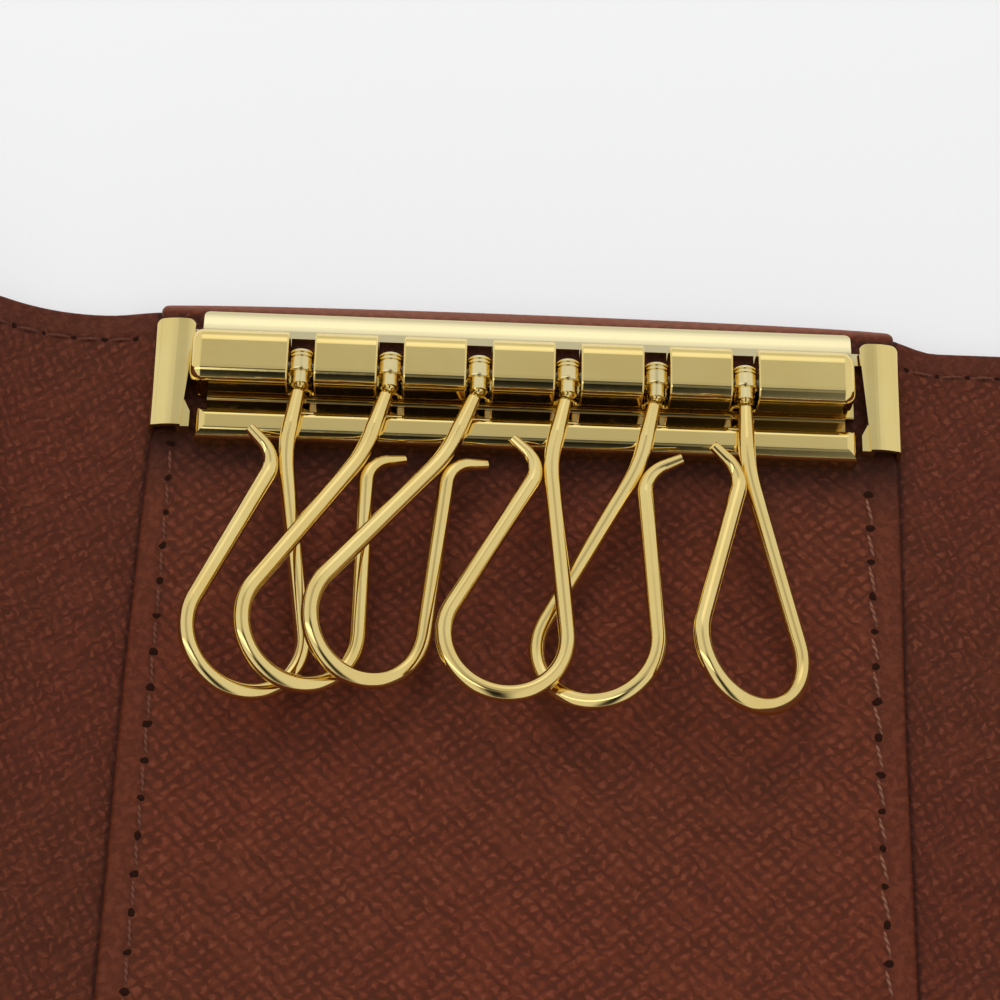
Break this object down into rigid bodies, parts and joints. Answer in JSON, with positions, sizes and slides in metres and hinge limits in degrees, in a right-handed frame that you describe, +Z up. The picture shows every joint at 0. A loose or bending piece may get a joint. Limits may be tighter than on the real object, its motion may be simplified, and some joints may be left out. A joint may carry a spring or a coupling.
{
  "type": "leather key case",
  "caption": "Trifold leather key case lying open, with a slotted brass hook bar across the centre panel, swivelling teardrop key hooks and snap-closing flaps.",
  "frame": {"origin": "centre of the flat back of the centre panel, on the table", "axes": "+X along the hook bar to the right, +Y up the case to the bar, +Z up from the table"},
  "size_m": [0.2055, 0.101, 0.0361],
  "materials": {
    "cover_leather": "plain cross-grained leather, satin",
    "lining_leather": "cross-grained leather, satin",
    "strip_leather": "cross-grained leather, satin",
    "board": "bonded leather board, matt",
    "brass": "polished gold-tone plate with fine wear",
    "hook_brass": "polished gold-tone plate with fine wear",
    "steel": "plain steel, mostly hidden"
  },
  "bodies": {
    "case_back": {"outer_cover_centre": "cover_leather", "lining_centre": "lining_leather", "centre_board": "board", "centre_strip": "strip_leather", "bar_base_plate": "brass", "slotted_bar": "brass", "axle_rod": "steel", "end_clip_left": "brass", "end_clip_right": "brass", "bar_rivets": "steel", "backing_plate": "steel"},
    "left_spine": {"outer_cover_left_spine": "cover_leather", "lining_left_spine": "lining_leather"},
    "left_flap": {"outer_cover_left_flap": "cover_leather", "lining_left_flap": "lining_leather", "left_flap_board": "board", "snap_studs": "brass", "snap_stud_posts": "steel"},
    "right_spine": {"outer_cover_right_spine": "cover_leather", "lining_right_spine": "lining_leather"},
    "right_flap": {"outer_cover_right_flap": "cover_leather", "lining_right_flap": "lining_leather", "right_flap_board": "board", "snap_caps": "brass", "snap_sockets": "brass"},
    "swivel_1": {"swivel_1": "hook_brass"},
    "hook_1": {"key_hook_1": "hook_brass"},
    "swivel_2": {"swivel_2": "hook_brass"},
    "hook_2": {"key_hook_2": "hook_brass"},
    "swivel_3": {"swivel_3": "hook_brass"},
    "hook_3": {"key_hook_3": "hook_brass"},
    "swivel_4": {"swivel_4": "hook_brass"},
    "hook_4": {"key_hook_4": "hook_brass"},
    "swivel_5": {"swivel_5": "hook_brass"},
    "hook_5": {"key_hook_5": "hook_brass"},
    "swivel_6": {"swivel_6": "hook_brass"},
    "hook_6": {"key_hook_6": "hook_brass"}
  },
  "joints": [
    {"name": "left_spine_fold", "type": "hinge", "parent": "case_back", "child": "left_spine", "pos_m": [-0.0345, 0, 0.0019], "axis": [0, 1, 0], "range_deg": [0, 82]},
    {"name": "left_flap_fold", "type": "hinge", "parent": "left_spine", "child": "left_flap", "pos_m": [-0.0444, 0, 0.00329], "axis": [0, 1, 0], "range_deg": [0, 66]},
    {"name": "right_spine_fold", "type": "hinge", "parent": "case_back", "child": "right_spine", "pos_m": [0.0345, 0, 0.0019], "axis": [0, -1, 0], "range_deg": [0, 88]},
    {"name": "right_flap_fold", "type": "hinge", "parent": "right_spine", "child": "right_flap", "pos_m": [0.04859, 0, 0.00239], "axis": [0, -1, 0], "range_deg": [0, 72]},
    {"name": "hook_1_swing", "type": "hinge", "parent": "case_back", "child": "swivel_1", "pos_m": [-0.0195, 0.0433, 0.0061], "axis": [1, 0, 0], "range_deg": [-55, 0]},
    {"name": "hook_1_twist", "type": "hinge", "parent": "swivel_1", "child": "hook_1", "pos_m": [-0.0195, 0.04185, 0.00615], "axis": [-0.1323, -0.9907, 0.0311], "range_deg": [-9, 6]},
    {"name": "hook_2_swing", "type": "hinge", "parent": "swivel_1", "child": "swivel_2", "pos_m": [-0.0117, 0.0433, 0.0061], "axis": [1, 0, 0], "range_deg": [-55, 0]},
    {"name": "hook_2_twist", "type": "hinge", "parent": "swivel_2", "child": "hook_2", "pos_m": [-0.0117, 0.04185, 0.00617], "axis": [-0.2656, -0.9629, 0.0488], "range_deg": [-13, 0]},
    {"name": "hook_3_swing", "type": "hinge", "parent": "swivel_2", "child": "swivel_3", "pos_m": [-0.0039, 0.0433, 0.0061], "axis": [1, 0, 0], "range_deg": [-45, 0]},
    {"name": "hook_3_twist", "type": "hinge", "parent": "swivel_3", "child": "hook_3", "pos_m": [-0.0039, 0.04185, 0.00616], "axis": [-0.3567, -0.9333, 0.0407], "range_deg": [-11, 10]},
    {"name": "hook_5_swing", "type": "hinge", "parent": "case_back", "child": "swivel_5", "pos_m": [0.0117, 0.0433, 0.0061], "axis": [1, 0, 0], "range_deg": [-80, 0]},
    {"name": "hook_5_twist", "type": "hinge", "parent": "swivel_5", "child": "hook_5", "pos_m": [0.0117, 0.04185, 0.0061], "axis": [-0.2062, -0.9785, 0], "range_deg": [0, 8]},
    {"name": "hook_4_swing", "type": "hinge", "parent": "swivel_5", "child": "swivel_4", "pos_m": [0.0039, 0.0433, 0.0061], "axis": [1, 0, 0], "range_deg": [-80, 0]},
    {"name": "hook_4_twist", "type": "hinge", "parent": "swivel_4", "child": "hook_4", "pos_m": [0.0039, 0.04185, 0.00617], "axis": [-0.2028, -0.9781, 0.0478], "range_deg": [0, 9]},
    {"name": "hook_6_swing", "type": "hinge", "parent": "case_back", "child": "swivel_6", "pos_m": [0.0195, 0.0433, 0.0061], "axis": [1, 0, 0], "range_deg": [-165, 0]},
    {"name": "hook_6_twist", "type": "hinge", "parent": "swivel_6", "child": "hook_6", "pos_m": [0.0195, 0.04185, 0.00619], "axis": [0, -0.9979, 0.0645], "range_deg": [-2, 11]}
  ],
  "couplings": [
    {"joint": "left_flap_fold", "follows": "left_spine_fold", "ratio": 0.80488},
    {"joint": "right_flap_fold", "follows": "right_spine_fold", "ratio": 0.81818}
  ]
}
